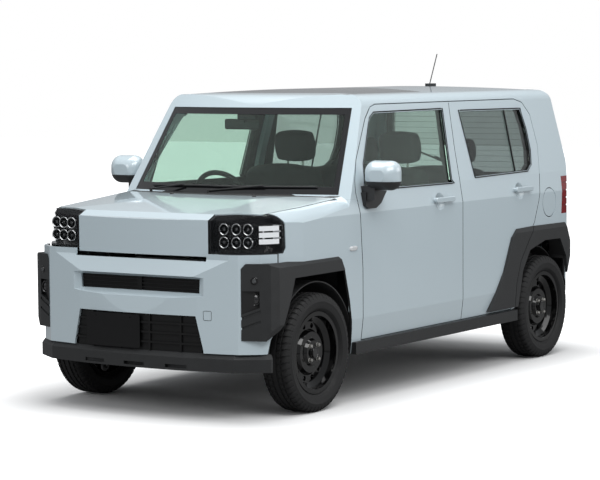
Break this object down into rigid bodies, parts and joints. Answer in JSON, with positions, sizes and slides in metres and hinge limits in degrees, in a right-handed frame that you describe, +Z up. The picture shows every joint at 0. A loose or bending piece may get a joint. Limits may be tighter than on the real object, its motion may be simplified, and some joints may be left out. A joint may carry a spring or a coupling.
{
  "type": "compact passenger car",
  "caption": "Compact boxy four-door car with opening doors, bonnet and tailgate, steering front wheels, black arch cladding and a hollow cabin with seats.",
  "frame": {"origin": "on the ground, at the middle of the overall length and width", "axes": "+X to the front, +Y to the car's left, +Z up"},
  "size_m": [3.395, 1.823, 1.7773],
  "materials": {
    "body_paint": "gloss, with a pale ice blue tint",
    "black_gloss": "gloss",
    "black_plastic": "fine grained, unpainted",
    "interior_plastic": "fine grained",
    "clear_glass": "clear, green tint",
    "privacy_glass": "dark tint",
    "lamp_red": "clear red cover",
    "lamp_clear": "clear cover",
    "lamp_black": "dark housing with chromed cells",
    "plate_black": "blank",
    "under_paint": "satin",
    "wheel_black": "gloss black",
    "tyre": "matte",
    "cast_metal": "painted matte",
    "engine_metal": "cast",
    "exhaust_steel": "dull",
    "seat_cloth": "woven",
    "plate_white": "blank"
  },
  "bodies": {
    "car_body": {"body_shell": "body_paint", "roof_panel": "black_gloss", "windscreen": "clear_glass", "tail_lamps": "lamp_red", "headlamps": "lamp_clear", "fenders": "body_paint", "front_bumper": "body_paint", "grilles": "black_plastic", "front_lip": "black_plastic", "cladding": "black_plastic", "rear_bumper": "body_paint", "cowl": "black_plastic", "underbody": "under_paint", "subframe": "cast_metal", "engine": "engine_metal", "rear_axle": "cast_metal", "fuel_tank": "under_paint", "exhaust": "exhaust_steel", "front_seats": "seat_cloth", "rear_seat": "seat_cloth", "dashboard": "interior_plastic", "antenna": "black_plastic", "lamp_units": "lamp_black", "front_plate": "plate_black", "tow_hooks": "cast_metal", "wipers": "black_plastic"},
    "bonnet": {"bonnet": "body_paint"},
    "tailgate": {"tailgate": "body_paint", "glass_tailgate": "privacy_glass", "rear_plate": "plate_white"},
    "fuel_lid": {"fuel_lid": "body_paint"},
    "door_front_left": {"door_front_left": "body_paint", "glass_front_left": "clear_glass", "mirror_left": "body_paint"},
    "door_front_right": {"door_front_right": "body_paint", "glass_front_right": "clear_glass", "mirror_right": "body_paint"},
    "door_rear_left": {"door_rear_left": "body_paint", "glass_rear_left": "privacy_glass", "door_cladding_left": "black_plastic"},
    "door_rear_right": {"door_rear_right": "body_paint", "glass_rear_right": "privacy_glass", "door_cladding_right": "black_plastic"},
    "knuckle_left": {"knuckle_left": "cast_metal"},
    "knuckle_right": {"knuckle_right": "cast_metal"},
    "wheel_front_left": {"rim_front_left": "wheel_black", "tyre_front_left": "tyre"},
    "wheel_front_right": {"rim_front_right": "wheel_black", "tyre_front_right": "tyre"},
    "wheel_rear_left": {"rim_rear_left": "wheel_black", "tyre_rear_left": "tyre"},
    "wheel_rear_right": {"rim_rear_right": "wheel_black", "tyre_rear_right": "tyre"},
    "steering_wheel": {"steering_wheel": "interior_plastic"}
  },
  "joints": [
    {"name": "bonnet_hinge", "type": "hinge", "parent": "car_body", "child": "bonnet", "pos_m": [0.878, 0, 1.05], "axis": [0, -1, 0], "range_deg": [0, 50]},
    {"name": "front_door_left_hinge", "type": "hinge", "parent": "car_body", "child": "door_front_left", "pos_m": [0.752, 0.722, 0.9], "axis": [0, 0, -1], "range_deg": [0, 65]},
    {"name": "front_door_right_hinge", "type": "hinge", "parent": "car_body", "child": "door_front_right", "pos_m": [0.752, -0.722, 0.9], "axis": [0, 0, 1], "range_deg": [0, 65]},
    {"name": "rear_door_left_hinge", "type": "hinge", "parent": "car_body", "child": "door_rear_left", "pos_m": [-0.34, 0.722, 0.9], "axis": [0, 0, -1], "range_deg": [0, 65]},
    {"name": "rear_door_right_hinge", "type": "hinge", "parent": "car_body", "child": "door_rear_right", "pos_m": [-0.34, -0.722, 0.9], "axis": [0, 0, 1], "range_deg": [0, 65]},
    {"name": "tailgate_hinge", "type": "hinge", "parent": "car_body", "child": "tailgate", "pos_m": [-1.608, 0, 1.531], "axis": [0, 1, 0], "range_deg": [0, 85]},
    {"name": "fuel_lid_hinge", "type": "hinge", "parent": "car_body", "child": "fuel_lid", "pos_m": [-1.306, 0.7225, 0.905], "axis": [0, 0, -1], "range_deg": [0, 95]},
    {"name": "steer_left", "type": "hinge", "parent": "car_body", "child": "knuckle_left", "pos_m": [1.1375, 0.6, 0.205], "axis": [0, -0.1911, 0.9816], "range_deg": [-35, 35]},
    {"name": "steer_right", "type": "hinge", "parent": "car_body", "child": "knuckle_right", "pos_m": [1.1375, -0.6, 0.205], "axis": [0, 0.1911, 0.9816], "range_deg": [-35, 35]},
    {"name": "steering_wheel_turn", "type": "hinge", "parent": "car_body", "child": "steering_wheel", "pos_m": [0.4, -0.35, 0.985], "axis": [-0.891, 0, 0.454], "range_deg": [-490, 490]},
    {"name": "spin_front_left", "type": "hinge", "parent": "knuckle_left", "child": "wheel_front_left", "pos_m": [1.1375, 0.65, 0.2975], "axis": [0, 1, 0], "continuous": true},
    {"name": "spin_front_right", "type": "hinge", "parent": "knuckle_right", "child": "wheel_front_right", "pos_m": [1.1375, -0.65, 0.2975], "axis": [0, 1, 0], "continuous": true},
    {"name": "spin_rear_left", "type": "hinge", "parent": "car_body", "child": "wheel_rear_left", "pos_m": [-1.3225, 0.65, 0.2975], "axis": [0, 1, 0], "continuous": true},
    {"name": "spin_rear_right", "type": "hinge", "parent": "car_body", "child": "wheel_rear_right", "pos_m": [-1.3225, -0.65, 0.2975], "axis": [0, 1, 0], "continuous": true}
  ],
  "couplings": [
    {"joint": "steer_right", "follows": "steer_left", "ratio": 1},
    {"joint": "steering_wheel_turn", "follows": "steer_left", "ratio": 14}
  ]
}
